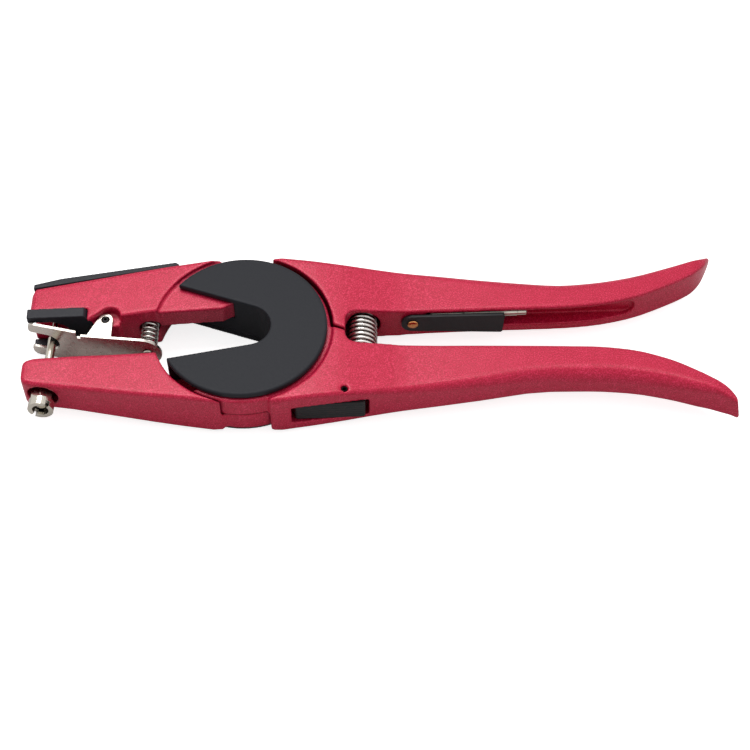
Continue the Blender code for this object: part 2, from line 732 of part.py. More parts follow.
def jaw_top(x):
    return JAW_TOP_Y + (x - JAW_NOSE_X - 0.0012) * JAW_TOP_SLOPE


def web_outline(spare):
    """Gusset between the fork and the strip; with spare, the slot that takes it."""
    back = NOTCH_END_X - SEAT_GAP - FORK_BACK
    front = NOTCH_END_X - SEAT_GAP
    rear = -0.0405
    low = fork_y(front) - FORK_THICKNESS / 4
    top = jaw_top(rear) + SEAT_GAP + 0.0005
    if spare == 0:
        return [(back, low), (front, low), (rear, top), (back, jaw_top(back) + SEAT_GAP + 0.0005)]
    far = 2 * JAW_NOSE_X
    side = 1.6 * spare
    floor = -0.02
    edge = [(front + side, floor), (front + side, low), (rear + side, top)]
    return [(far, floor), *edge, (rear, 0.04), (far, 0.04)]


def make_tag_insert():
    """One moulding: the strip on the jaw, the gusset through it and the fork under it."""
    left = JAW_NOSE_X + 0.0002
    low = SEAT_GAP
    strip = [
        (left, jaw_top(left) + low),
        (INSERT_STRIP_END, jaw_top(INSERT_STRIP_END) + low),
        (INSERT_STRIP_END, jaw_top(INSERT_STRIP_END) + 0.0009),
        (INSERT_STRIP_END - 0.0013, jaw_top(INSERT_STRIP_END) + 0.0017),
        (-0.0650, jaw_top(-0.0650) + 0.0029),
        (left, jaw_top(left) + 0.0021),
    ]
    body = part("tag_insert", plate(strip, -INSERT_HALF, INSERT_HALF), hub_axis, black_nylon)
    join(body, tool("insert_web", plate(web_outline(0.0), -INSERT_WEB_HALF, INSERT_WEB_HALF), hub_axis))
    right = NOTCH_END_X - SEAT_GAP
    slot_end = right - FORK_BACK - (FORK_HALF - FORK_PRONG)
    outline = [
        (right - FORK_LENGTH, -FORK_HALF),
        (right - FORK_BEVEL, -FORK_HALF),
        (right, -FORK_HALF + FORK_BEVEL_WIDTH),
        (right, FORK_HALF - FORK_BEVEL_WIDTH),
        (right - FORK_BEVEL, FORK_HALF),
        (right - FORK_LENGTH, FORK_HALF),
    ]
    slot_half = FORK_HALF - FORK_PRONG
    outline += [(right - FORK_LENGTH, slot_half)]
    outline += arc((slot_end, 0.0), slot_half, pi / 2, -pi / 2, 16)
    outline += [(right - FORK_LENGTH, -slot_half)]
    fork = floor_plate(outline, -FORK_THICKNESS / 2, FORK_THICKNESS / 2)
    middle = Vector((right - FORK_LENGTH / 2, 0.0, 0.0))
    turn = Matrix.Translation(middle + Vector((0.0, FORK_Y, 0.0)))
    turn = turn @ Matrix.Rotation(FORK_TILT, 4, "Z") @ Matrix.Translation(-middle)
    fork.transform(turn)
    join(body, tool("insert_fork", fork, hub_axis))
    tip = Vector((PIN_X + (0.020 - PIN_Y) * sin(PIN_TILT), 0.0300, 0.0))
    hole = rod(tip - Vector((0, 0.0160, 0)), tip, INSERT_HOLE, None, 20)
    cut(body, tool("insert_pin_hole", hole, hub_axis))
    return body


def clip_arch():
    """Recess in the jaw's face round the clip's ear, in the clip's frame."""
    centre = (CLIP_ARCH_X, 0.0)
    outline = [(-0.0085, -0.0080), (-0.0055, -0.0012)]
    outline += arc(centre, CLIP_ARCH_RADIUS, radians(128.0), 0.0, 10)
    outline += [(CLIP_ARCH_X + CLIP_ARCH_RADIUS, -0.0080)]
    return outline


def clip_line(spare):
    """Side view of the clip's sheet: its upper surface, then its lower one."""
    top = [
        (CLIP_FRONT - 0.001, -CLIP_DROP + CLIP_FRONT_RISE),
        (CLIP_BEND, -CLIP_DROP),
        (CLIP_REAR + 0.001, -CLIP_DROP - CLIP_REAR_DROP),
    ]
    low = [(x, y - CLIP_SHEET - spare) for x, y in reversed(top)]
    return top + low


def clip_blank():
    """Flat outline of the clip: fork with round corners, narrower rear and round tail."""
    corner = 0.0022
    step = CLIP_BEND + 0.0010
    notch = 0.0014
    half = CLIP_FORK_HALF - corner
    slot_centre = CLIP_FRONT + CLIP_SLOT_LENGTH - CLIP_SLOT_HALF
    upper = arc((CLIP_FRONT + 0.5 * corner, CLIP_SLOT_HALF + 0.5 * corner), 0.5 * corner, -pi / 2, -pi, 4)
    upper += arc((CLIP_FRONT + corner, half), corner, pi, pi / 2, 6)
    upper += [(step - notch, CLIP_FORK_HALF), (step - notch, CLIP_HALF - 0.0013), (step, CLIP_HALF - 0.0013)]
    upper += [(step, CLIP_HALF - 0.0001)]
    lower = [(x, -z) for x, z in reversed(upper)]
    tail = arc((CLIP_REAR - CLIP_HALF, 0.0), CLIP_HALF - 0.0001, pi / 2, -pi / 2, 20)
    slot = arc((slot_centre, 0.0), CLIP_SLOT_HALF, -pi / 2, pi / 2, 12)
    return upper + tail + lower + slot


def make_tag_clip():
    """Stainless clip: a forked sheet with two ears, sprung shut under the insert."""
    body = part("tag_clip", plate(clip_line(0.0), -0.02, 0.02), clip_axis, stainless)
    combine(body, tool("clip_outline", floor_plate(clip_blank(), -0.03, 0.02), clip_axis), "INTERSECT")
    root = CLIP_SHEET / 2
    ear = [(-0.0061, clip_sheet_y(-0.0061) - root), (CLIP_EAR_RADIUS, clip_sheet_y(CLIP_EAR_RADIUS) - root)]
    ear += arc((0.0, 0.0), CLIP_EAR_RADIUS, 0.0, radians(145.0), 10)
    for label, shape in zip(("front", "back"), both_sides(ear, CLIP_INNER, CLIP_HALF)):
        join(body, tool("clip_ear_" + label, shape, clip_axis))
    hole = CLIP_PIN_RADIUS + SEAT_GAP
    cut(body, tool("clip_ear_hole", rod((0, 0, -0.02), (0, 0, 0.02), hole, None, 20), clip_axis))
    stud_hole = rod((CLIP_SPRING_X, -0.02, 0), (CLIP_SPRING_X, 0.0, 0), CLIP_STUD_RADIUS, None, 20)
    cut(body, tool("clip_stud_hole", stud_hole, clip_axis))
    return body


def clip_sheet_y(x):
    """Height of the clip's upper surface behind its bend."""
    share = (x - CLIP_BEND) / (CLIP_REAR - CLIP_BEND)
    return -CLIP_DROP - CLIP_REAR_DROP * share


def make_clip_fittings():
    bore_end = PIVOT_LENGTH - CLIP_PIN_BORE_DEPTH
    pin = [(0.0, bore_end), (CLIP_PIN_BORE, bore_end), (CLIP_PIN_BORE, PIVOT_LENGTH)]
    pin += [(CLIP_PIN_RADIUS - 0.0003, PIVOT_LENGTH), (CLIP_PIN_RADIUS, PIVOT_LENGTH - 0.0003)]
    pin += [(radius, -height) for radius, height in reversed(pin)]
    turned("clip_pivot_pin", pin, clip_axis, nickel, (0, 0, 0), (0, 0, 1), 24)
    top = clip_sheet_y(CLIP_SPRING_X)
    shank = CLIP_STUD_RADIUS - SEAT_GAP
    stud = [
        (0.0, 0.0018),
        (shank, 0.0018),
        (shank, -CLIP_SHEET - SEAT_GAP / 2),
        (CLIP_STUD_RADIUS + 0.0002, -CLIP_SHEET - SEAT_GAP / 2),
        (CLIP_STUD_RADIUS, -CLIP_SHEET - 0.0005),
        (CLIP_STUD_HOLE, -CLIP_SHEET - 0.0004),
        (CLIP_STUD_HOLE, 0.0002),
        (0.0, 0.0002),
    ]
    turned("clip_spring_stud", stud, clip_axis, nickel, (CLIP_SPRING_X, top, 0), (0, 1, 0), 20)
    start = top + SEAT_GAP + 0.0002
    length = CLIP_POCKET_Y - CLIP_Y - SEAT_GAP - start
    coil(
        "clip_spring",
        CLIP_SPRING_RADIUS,
        CLIP_SPRING_WIRE,
        CLIP_SPRING_TURNS,
        length,
        clip_axis,
        spring_steel,
        (CLIP_SPRING_X, start, 0),
        (0, 1, 0),
    )


def make_pin_lever():
    body = lever("pin_lever_casting", -1.0, LOWER_JAW, UPPER_GRIP)
    deep = 2.0 * LEVER_HALF
    jaw_corner = shoulder(LOWER_JAW[-2][:3:2], LOWER_JAW[-1][:3:2], -1.0, JAW_ROUND)
    grip_corner = shoulder(UPPER_GRIP[1][:2], UPPER_GRIP[0][:2], 1.0, SHOULDER_ROUND)
    cut(body, tool("pin_jaw_shoulder", jaw_corner, hub_axis))
    cut(body, tool("pin_grip_shoulder", grip_corner, hub_axis))
    opening = tool("pin_throat", plate(throat(LINER_WALL + SEAT_GAP), -deep, deep), hub_axis)
    ring = rod((0, 0, -1.5 * deep), (0, 0, 1.5 * deep), HUB_RADIUS + ARM_CLEARANCE / 2, None, RING_STEPS)
    combine(opening, tool("pin_throat_reach", ring, hub_axis), "INTERSECT")
    cut(body, opening)
    cut(body, tool("pin_step", spring_step(UPPER_SHELF, 1.0), hub_axis))
    cut(body, tool("pin_pocket", spring_pocket(UPPER_SHELF, 1.0), hub_axis))
    # Pin's bore and the recess of its nut, in the jaw's outer side
    bore = rod((0, 0.02, 0), (0, -0.02, 0), PIN_RADIUS + SEAT_GAP, None, 24)
    recess = rod((0, -PIN_FLANGE_DEPTH, 0), (0, -0.03, 0), PIN_RECESS_RADIUS, None, 32)
    cut(body, tool("pin_bore", bore, pin_axis), tool("nut_recess", recess, pin_axis))
    # Store for the spare pin, and its cover's rivet hole
    channel = [(CHANNEL_START, -CHANNEL_HALF)]
    channel += arc((CHANNEL_END - CHANNEL_HALF, 0.0), CHANNEL_HALF, -pi / 2, pi / 2, 10)
    channel += [(CHANNEL_START, CHANNEL_HALF)]
    cut(body, tool("pin_channel", floor_plate(channel, -0.02, CHANNEL_DEPTH), strap_axis))
    hole = rod((0, -0.01, 0), (0, RIVET_LENGTH, 0), RIVET_RADIUS + SEAT_GAP, None, 20)
    cut(body, tool("rivet_hole", hole, strap_axis))
    # Notch that the lock's nose drops into
    notch_end = LOCK_LEFT + LOCK_NOSE_LENGTH + 2 * LOCK_END_GAP
    reach = LOCK_NOSE_REACH + LOCK_NOTCH_DEPTH
    notch = block((LOCK_LEFT, 0.0, LOCK_LOW), (notch_end, reach, 0.01))
    cut(body, tool("lock_notch", notch, lock_axis))
    for i, angle in enumerate(COVER_SCREW_ANGLES):
        x, y = COVER_SCREW_CIRCLE * cos(angle), COVER_SCREW_CIRCLE * sin(angle)
        depth = -HUB_HALF + COVER_SCREW_LENGTH - COVER_THICKNESS
        hole = rod((x, y, -deep), (x, y, depth), COVER_SCREW_RADIUS + SEAT_GAP, None, 20)
        cut(body, tool(f"hub_screw_hole_{i + 1}", hole, hub_axis))
    for i, angle in enumerate(COVER_PEG_ANGLES):
        x, y = COVER_PEG_CIRCLE * cos(angle), COVER_PEG_CIRCLE * sin(angle)
        depth = -HUB_HALF + COVER_PEG_LENGTH
        hole = rod((x, y, -deep), (x, y, depth), COVER_PEG_RADIUS + SEAT_GAP, None, 20)
        cut(body, tool(f"hub_peg_hole_{i + 1}", hole, hub_axis))
    return body


def cover_disc(inner, outer):
    """Round cover plate with a softened outer edge, between two heights."""
    side = 1.0 if outer > inner else -1.0
    profile = [
        (0.0, abs(outer)),
        (COVER_RADIUS - COVER_EDGE, abs(outer)),
        (COVER_RADIUS, abs(outer) - COVER_EDGE),
        (COVER_RADIUS, abs(inner)),
        (0.0, abs(inner)),
    ]
    return profile, side


def make_front_cover():
    """Front cover with the bush and the throat's lining, moulded in one."""
    profile, side = cover_disc(HUB_HALF + SEAT_GAP, HUB_HALF + SEAT_GAP + COVER_THICKNESS)
    body = turned("front_hub_cover", profile, hub_axis, black_nylon, (0, 0, 0), (0, 0, side), RING_STEPS)
    deep = HUB_HALF
    top = HUB_HALF + SEAT_GAP + COVER_THICKNESS / 2
    bush = rod((0, 0, -deep), (0, 0, top), HUB_BORE - SEAT_GAP, None, 64)
    join(body, tool("bush", bush, hub_axis))
    lining = tool("lining", rod((0, 0, -deep), (0, 0, top), COVER_RADIUS, None, RING_STEPS), hub_axis)
    trim = throat(LINER_WALL)
    keep = tool("lining_outer", plate(trim, -0.05, 0.05), hub_axis)
    combine(lining, keep, "INTERSECT")
    # Above the split, only the lower wall stays clear of the tongue's travel
    x, y = THROAT_CENTRE
    split = [(-0.05, y), (x, y), (x, 0.05), (-0.05, 0.05)]
    cut(lining, tool("tongue_way", plate(split, -HUB_GAP / 2, 0.05), hub_axis))
    join(body, lining)
    cut(body, tool("front_cover_throat", plate(throat(0.0), -0.05, 0.05), hub_axis))
    return body


def make_back_cover():
    profile, side = cover_disc(-HUB_HALF - SEAT_GAP, -HUB_HALF - SEAT_GAP - COVER_THICKNESS)
    body = turned("back_hub_cover", profile, hub_axis, black_nylon, (0, 0, 0), (0, 0, side), RING_STEPS)
    outer = -HUB_HALF - SEAT_GAP - COVER_THICKNESS
    for i, angle in enumerate(COVER_PEG_ANGLES):
        x, y = COVER_PEG_CIRCLE * cos(angle), COVER_PEG_CIRCLE * sin(angle)
        tip = -HUB_HALF + COVER_PEG_LENGTH - SEAT_GAP
        peg = rod((x, y, outer + COVER_THICKNESS / 2), (x, y, tip), COVER_PEG_RADIUS, None, 20)
        join(body, tool(f"cover_peg_{i + 1}", peg, hub_axis))
    cut(body, tool("back_cover_throat", plate(throat(0.0), -0.05, 0.05), hub_axis))
    sink = COVER_SCREW_HEAD - COVER_SCREW_RADIUS
    for i, angle in enumerate(COVER_SCREW_ANGLES):
        x, y = COVER_SCREW_CIRCLE * cos(angle), COVER_SCREW_CIRCLE * sin(angle)
        clear = rod((x, y, outer - 0.01), (x, y, 0.0), COVER_SCREW_RADIUS + SEAT_GAP, None, 20)
        flare = rod(
            (x, y, outer - 0.0005),
            (x, y, outer + sink + SEAT_GAP),
            COVER_SCREW_HEAD + SEAT_GAP + 0.0005,
            COVER_SCREW_RADIUS,
            24,
        )
        cut(body, tool(f"cover_screw_hole_{i + 1}", clear, hub_axis))
        cut(body, tool(f"cover_screw_sink_{i + 1}", flare, hub_axis))
        screw = [
            (0.0, COVER_SCREW_LENGTH - SEAT_GAP),
            (COVER_SCREW_RADIUS, COVER_SCREW_LENGTH - SEAT_GAP),
            (COVER_SCREW_RADIUS, sink),
            (COVER_SCREW_HEAD, 0.0),
            (0.0, 0.0),
        ]
        place = (x, y, outer + 0.0002)
        head = turned(f"cover_screw_{i + 1}", screw, hub_axis, nickel, place, (0, 0, 1), 24)
        socket = rod((x, y, outer - 0.001), (x, y, outer + 0.0011), 0.0010, None, 6)
        cut(head, tool(f"cover_screw_socket_{i + 1}", socket, hub_axis))
    return body


def make_handle_spring():
    low = -LOWER_SHELF - SPRING_POCKET_DEPTH + SEAT_GAP
    high = UPPER_SHELF + SPRING_POCKET_DEPTH - SEAT_GAP
    coil(
        "handle_spring",
        SPRING_RADIUS - SPRING_WIRE,
        SPRING_WIRE,
        SPRING_TURNS,
        high - low,
        hub_axis,
        spring_steel,
        (SPRING_X, low, 0),
        (0, 1, 0),
    )


def make_applicator_pin():
    """Pin with a needle nose, a flange inside the jaw and a tail that the nut holds."""
    floor_y = -PIN_FLANGE_DEPTH - SEAT_GAP
    tail = floor_y - PIN_FLANGE - SEAT_GAP - NUT_HEX - NUT_RIM + NUT_SLOT_DEPTH
    tip = PIN_LENGTH
    pin = [
        (0.0, tip),
        (0.0002, tip),
        (PIN_NEEDLE_RADIUS, tip - 0.0018),
        (PIN_NEEDLE_RADIUS, PIN_SHOULDER + 0.0004),
        (PIN_RADIUS, PIN_SHOULDER),
        (PIN_RADIUS, floor_y),
        (PIN_FLANGE_RADIUS, floor_y),
        (PIN_FLANGE_RADIUS, floor_y - PIN_FLANGE),
        (PIN_RADIUS, floor_y - PIN_FLANGE),
        (PIN_RADIUS, tail),
        (0.0, tail),
    ]
    turned("applicator_pin", pin, pin_axis, nickel, (0, 0, 0), (0, 1, 0), 24)


def make_lock_nut():
    """Hexagon nut with a hollow round rim that is slotted across, in the jaw's recess."""
    top = -PIN_FLANGE_DEPTH - SEAT_GAP - PIN_FLANGE - SEAT_GAP
    low = top - NUT_HEX
    end = low - NUT_RIM
    hexagon = rod((0, top, 0), (0, low, 0), NUT_FLATS / 2 / cos(pi / 6), None, 6)
    body = part("pin_lock_nut", hexagon, pin_axis, nickel)
    join(body, tool("nut_rim", rod((0, low + 0.0004, 0), (0, end, 0), NUT_RADIUS, None, 36), pin_axis))
    cut(body, tool("nut_bore", rod((0, 0.01, 0), (0, -0.04, 0), PIN_RADIUS + SEAT_GAP, None, 24), pin_axis))
    cup = rod((0, end + NUT_CUP_DEPTH, 0), (0, end - 0.01, 0), NUT_CUP_RADIUS, None, 24)
    cut(body, tool("nut_cup", cup, pin_axis))
    slot = block((-0.01, end - 0.01, -NUT_SLOT_WIDTH / 2), (0.01, end + NUT_SLOT_DEPTH, NUT_SLOT_WIDTH / 2))
    slot.transform(Matrix.Rotation(NUT_TURN, 4, "Y"))
    cut(body, tool("nut_slot", slot, pin_axis))
    return body


def make_pin_store():
    """Cover strap, its rivet and the spare pin in the upper handle's channel."""
    length, end, start = STRAP_LENGTH, STRAP_END_HALF, STRAP_PIVOT_HALF
    outline = arc((0.0, 0.0), start, pi / 2, 3 * pi / 2, 14)
    outline += arc((length - 0.0008, 0.0008 - end), 0.0008, -pi / 2, 0.0, 4)
    outline += arc((length - 0.0008, end - 0.0008), 0.0008, 0.0, pi / 2, 4)
    mesh = floor_plate(outline, -STRAP_GAP - STRAP_THICKNESS, -STRAP_GAP)
    mesh.transform(Matrix.Rotation(STRAP_SKEW, 4, "Y"))
    strap = part("spare_pin_cover", mesh, strap_axis, black_rubber)
    hole = rod((0, -0.01, 0), (0, 0.01, 0), RIVET_RADIUS + SEAT_GAP, None, 20)
    cut(strap, tool("strap_hole", hole, strap_axis))
    base = -2 * STRAP_GAP - STRAP_THICKNESS
    rivet = [(0.0, RIVET_LENGTH - SEAT_GAP), (RIVET_RADIUS, RIVET_LENGTH - SEAT_GAP), (RIVET_RADIUS, base)]
    rivet += [(RIVET_HEAD, base), (0.9 * RIVET_HEAD, base - 0.5 * RIVET_DOME)]
    rivet += [(0.55 * RIVET_HEAD, base - 0.88 * RIVET_DOME), (0.0, base - RIVET_DOME)]
    turned("strap_rivet", rivet, strap_axis, copper, (0, 0, 0), (0, 1, 0), 24)
    end_x = SPARE_PIN_START + SPARE_PIN_LENGTH
    tail = 0.0033
    needle = PIN_LENGTH - PIN_SHOULDER
    pin = [
        (0.0, end_x),
        (PIN_RADIUS - 0.0004, end_x),
        (PIN_RADIUS - 0.0002, end_x - 0.0002),
        (PIN_RADIUS - 0.0002, end_x - tail),
        (PIN_RADIUS, end_x - tail),
        (PIN_RADIUS, SPARE_PIN_START + needle),
        (PIN_NEEDLE_RADIUS, SPARE_PIN_START + needle - 0.0004),
        (PIN_NEEDLE_RADIUS, SPARE_PIN_START + 0.0018),
        (0.0002, SPARE_PIN_START),
        (0.0, SPARE_PIN_START),
    ]
    turned("spare_pin", pin, strap_axis, nickel, (0, PIN_RADIUS + SEAT_GAP, SPARE_PIN_Z), (1, 0, 0), 24)


def lock_middle():
    return (LOCK_LOW + LOCK_HIGH) / 2


def make_lock():
    """Ribbed rocker in the lower handle's window, with its pin and spring."""
    left = LOCK_LEFT + LOCK_END_GAP
    right = LOCK_RIGHT - LOCK_END_GAP
    low = LOCK_LOW + SEAT_GAP
    high = LOCK_HIGH - SEAT_GAP
    outline = [
        (left, LOCK_SINK + 0.0004 - LOCK_DEPTH),
        (left + 0.0006, LOCK_SINK - LOCK_DEPTH),
        (right - 0.0008, -LOCK_DEPTH - LOCK_RISE),
        (right, 0.0005 - LOCK_DEPTH - LOCK_RISE),
        (right, 0.0008),
        (0.0, 0.0022),
        (left, 0.0020),
    ]
    body = part("lock_rocker", plate(outline, low, high), lock_axis, black_nylon)
    nose_right = left + LOCK_NOSE_LENGTH
    nose = block((left, 0.0, low), (nose_right, LOCK_NOSE_REACH, -2 * SEAT_GAP))
    join(body, tool("rocker_nose", nose, lock_axis))
    hole = rod((0, 0, -0.02), (0, 0, 0.02), LOCK_PIN_RADIUS + SEAT_GAP, None, 20)
    cut(body, tool("rocker_hole", hole, lock_axis))
    count = floor((high - low) / LOCK_RIB_PITCH)
    first = (low + high) / 2 - (count - 1) * LOCK_RIB_PITCH / 2
    fall = (LOCK_SINK + LOCK_RISE) / (right - left)
    for i in range(count):
        z = first + i * LOCK_RIB_PITCH
        groove = block(
            (left - 0.01, -0.01, z - LOCK_RIB_PITCH / 5),
            (right + 0.01, LOCK_RIB_DEPTH, z + LOCK_RIB_PITCH / 5),
        )
        edge = Matrix.Translation((right, -LOCK_DEPTH - LOCK_RISE, 0)) @ Matrix.Rotation(-fall, 4, "Z")
        groove.transform(edge @ Matrix.Translation((-right, 0, 0)))
        cut(body, tool(f"rocker_groove_{i + 1}", groove, lock_axis))
    reach = LEVER_HALF - LOCK_PIN_SINK
    pin = [(0.0, reach), (LOCK_PIN_RADIUS, reach), (LOCK_PIN_RADIUS, -reach), (0.0, -reach)]
    turned("lock_pivot_pin", pin, lock_axis, nickel, (0, 0, 0), (0, 0, 1), 20)
    start = 0.0020
    coil(
        "lock_spring",
        LOCK_SPRING_RADIUS,
        LOCK_SPRING_WIRE,
        LOCK_SPRING_TURNS,
        LOCK_FLOOR + LOCK_SPRING_DEPTH - SEAT_GAP - start,
        lock_axis,
        spring_steel,
        (LOCK_SPRING_X, start, lock_middle()),
        (0, 1, 0),
    )


def shade(body):
    """Smooth shading with the true edges kept sharp."""
    if body.type == "MESH" and not body.modifiers:
        body.data.shade_smooth()
        body.data.set_sharp_from_angle(angle=radians(35.0))


make_anvil_lever()
make_pin_lever()
make_front_cover()
make_back_cover()
make_tag_insert()
make_tag_clip()
make_clip_fittings()
make_handle_spring()
make_applicator_pin()
make_lock_nut()
make_pin_store()
make_lock()
for sub_part in parts.objects:
    shade(sub_part)
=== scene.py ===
"""Looks of the ear tag applicator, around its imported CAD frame. Metres, +Z up."""

import json
from math import cos, pi, radians, sin

import bmesh
import bpy
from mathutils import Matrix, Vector


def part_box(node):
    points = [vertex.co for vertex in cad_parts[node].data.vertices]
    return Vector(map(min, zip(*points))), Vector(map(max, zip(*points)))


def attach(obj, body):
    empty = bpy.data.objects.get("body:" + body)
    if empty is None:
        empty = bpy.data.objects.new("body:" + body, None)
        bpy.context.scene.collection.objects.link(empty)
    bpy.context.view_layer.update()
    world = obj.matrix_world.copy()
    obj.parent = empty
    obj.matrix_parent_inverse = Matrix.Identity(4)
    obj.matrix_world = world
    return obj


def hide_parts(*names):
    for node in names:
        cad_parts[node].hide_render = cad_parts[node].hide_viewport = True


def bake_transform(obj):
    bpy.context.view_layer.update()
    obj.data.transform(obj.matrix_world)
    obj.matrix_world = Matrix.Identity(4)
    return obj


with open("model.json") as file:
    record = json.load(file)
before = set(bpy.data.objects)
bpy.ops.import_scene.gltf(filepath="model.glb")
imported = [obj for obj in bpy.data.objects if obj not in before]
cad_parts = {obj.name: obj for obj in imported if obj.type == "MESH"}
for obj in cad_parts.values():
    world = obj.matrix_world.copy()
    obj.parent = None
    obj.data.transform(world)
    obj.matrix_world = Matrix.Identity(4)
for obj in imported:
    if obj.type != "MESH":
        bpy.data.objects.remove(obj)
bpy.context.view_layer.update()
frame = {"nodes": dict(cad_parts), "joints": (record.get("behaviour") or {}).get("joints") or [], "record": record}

# Camera, as fitted to the photograph, with its sensor and lens in millimetres
SENSOR_WIDTH = 36.0
FOCAL_LENGTH = 81.0
HUB = Vector(next(joint["pos_m"] for joint in frame["joints"] if joint["name"] == "levers_hinge"))
CAMERA_PLACE = Vector((HUB.x + 0.04541, HUB.y - 0.3437, 0.4881))
CAMERA_TARGET = Vector((HUB.x + 0.04541, HUB.y - 0.00706, 0.0012))

# Shader detail, and the range that most of a noise's values lie in
OCCLUSION_SAMPLES = 8
BEVEL_SAMPLES = 6
NOISE_LOW = 0.3
NOISE_HIGH = 0.7

# Ends of the limbs beside the ring joint, where the castings are rounded most
CORNER_REACH = 0.0040
CORNER_ROUNDS = 120
ANVIL_CORNERS = (HUB.xy + Vector((0.0102, -0.0322)), HUB.xy + Vector((-0.0087, 0.0312)))
PIN_CORNERS = (HUB.xy + Vector((-0.0062, -0.0322)), HUB.xy + Vector((0.0089, 0.0322)))

# Dark tubes of painted shade in the bores above the sunk lock pin, and where a ray beside them finds the casting's
# face
BORE_INNER = 0.00065
BORE_OUTER = 0.00095
BORE_SIDES = 32
BORE_CREASE = 40.0
MOUTH_DEPTH = 0.00035
USUAL_DEPTH = 0.004
PROBE_ASIDE = 0.0018
PROBE_RISE = 0.03

# Springs of round wire
COIL_STEPS = 28
WIRE_SIDES = 12
WIRE_CREASE = 50.0
CLOSED_TURNS = 1.0

# White studio
FLOOR_REACH = 3.0
FLOOR_HEIGHT = -0.0002
FLOOR_COLOUR = (0.75, 0.75, 0.75, 1.0)
FLOOR_ROUGHNESS = 0.9
FLOOR_SPECULAR = 0.1
FLOOR_GLOW = 0.80
WORLD_LIGHT = 0.40
WHITE = (1.0, 1.0, 1.0, 1.0)


def collection(name):
    group = bpy.data.collections.new(name)
    bpy.context.scene.collection.children.link(group)
    return group


pieces = collection("pieces")
studio = collection("studio")


class Shader:
    """One material's node tree, with the bevel of its edges first in the chain of normals."""

    def __init__(self, name, colour, edge_radius, metallic=0.0):
        self.material = bpy.data.materials.new(name)
        self.material.use_nodes = True
        self.nodes = self.material.node_tree.nodes
        self.links = self.material.node_tree.links
        self.surface = self.nodes["Principled BSDF"]
        self.put("Base Color", (*colour, 1.0))
        self.put("Metallic", metallic)
        self.place = self.nodes.new("ShaderNodeTexCoord").outputs["Object"]
        bevel = self.nodes.new("ShaderNodeBevel")
        bevel.samples = BEVEL_SAMPLES
        bevel.inputs["Radius"].default_value = edge_radius
        self.normal = bevel.outputs["Normal"]
        self.feed("Normal", self.normal)

    def put(self, name, value):
        """Set one value of the surface."""
        self.surface.inputs[name].default_value = value

    def feed(self, name, output):
        """Take one value of the surface from another node."""
        self.links.new(output, self.surface.inputs[name])

    def noise(self, scale, detail=2.0, roughness=0.5, stretch=None):
        """Fine pattern fixed to the piece, finer along the axes that stretch names."""
        node = self.nodes.new("ShaderNodeTexNoise")
        node.inputs["Scale"].default_value = scale
        node.inputs["Detail"].default_value = detail
        node.inputs["Roughness"].default_value = roughness
        source = self.place
        if stretch:
            mapping = self.nodes.new("ShaderNodeMapping")
            mapping.inputs["Scale"].default_value = stretch
            self.links.new(source, mapping.inputs["Vector"])
            source = mapping.outputs["Vector"]
        self.links.new(source, node.inputs["Vector"])
        return node.outputs["Fac"]

    def ramp(self, value, *stops):
        """Colour that runs through the given stops as a value rises."""
        node = self.nodes.new("ShaderNodeValToRGB")
        elements = node.color_ramp.elements
        while len(elements) < len(stops):
            elements.new(1.0)
        for element, (position, colour) in zip(elements, stops):
            element.position = position
            element.color = (*colour, 1.0)
        self.links.new(value, node.inputs["Fac"])
        return node.outputs["Color"]

    def add(self, first, second, share):
        """First value plus a share of the second."""
        node = self.nodes.new("ShaderNodeMath")
        node.operation = "MULTIPLY_ADD"
        node.inputs[1].default_value = share
        self.links.new(second, node.inputs[0])
        self.links.new(first, node.inputs[2])
        return node.outputs["Value"]

    def openness(self, reach):
        """Mask for painted shade: 1 on open surfaces, falling towards 0 in gaps and inside corners."""
        node = self.nodes.new("ShaderNodeAmbientOcclusion")
        node.samples = OCCLUSION_SAMPLES
        node.inputs["Distance"].default_value = reach
        return node.outputs["AO"]

    def with_painted_shade(self, output, reach, share):
        """Painted shade: a colour taken down to a share of itself in gaps and inside corners."""
        level = self.ramp(self.openness(reach), (0.20, (share,) * 3), (0.80, (1.0,) * 3))
        node = self.nodes.new("ShaderNodeMix")
        node.data_type = "RGBA"
        node.blend_type = "MULTIPLY"
        node.inputs["Factor"].default_value = 1.0
        sockets = [socket for socket in node.inputs if socket.type == "RGBA"]
        self.links.new(output, sockets[0])
        self.links.new(level, sockets[1])
        return next(socket for socket in node.outputs if socket.type == "RGBA")

    def rough(self, value, low, high):
        """Roughness that follows a noise from a low value to a high one."""
        node = self.nodes.new("ShaderNodeMapRange")
        node.inputs["From Min"].default_value = NOISE_LOW
        node.inputs["From Max"].default_value = NOISE_HIGH
        node.inputs["To Min"].default_value = low
        node.inputs["To Max"].default_value = high
        self.links.new(value, node.inputs["Value"])
        self.feed("Roughness", node.outputs["Result"])

    def bumps(self, value, strength, distance):
        """Relief over the normals so far."""
        node = self.nodes.new("ShaderNodeBump")
        node.inputs["Strength"].default_value = strength
        node.inputs["Distance"].default_value = distance
        self.links.new(value, node.inputs["Height"])
        self.links.new(self.normal, node.inputs["Normal"])
        self.normal = node.outputs["Normal"]
        self.feed("Normal", self.normal)


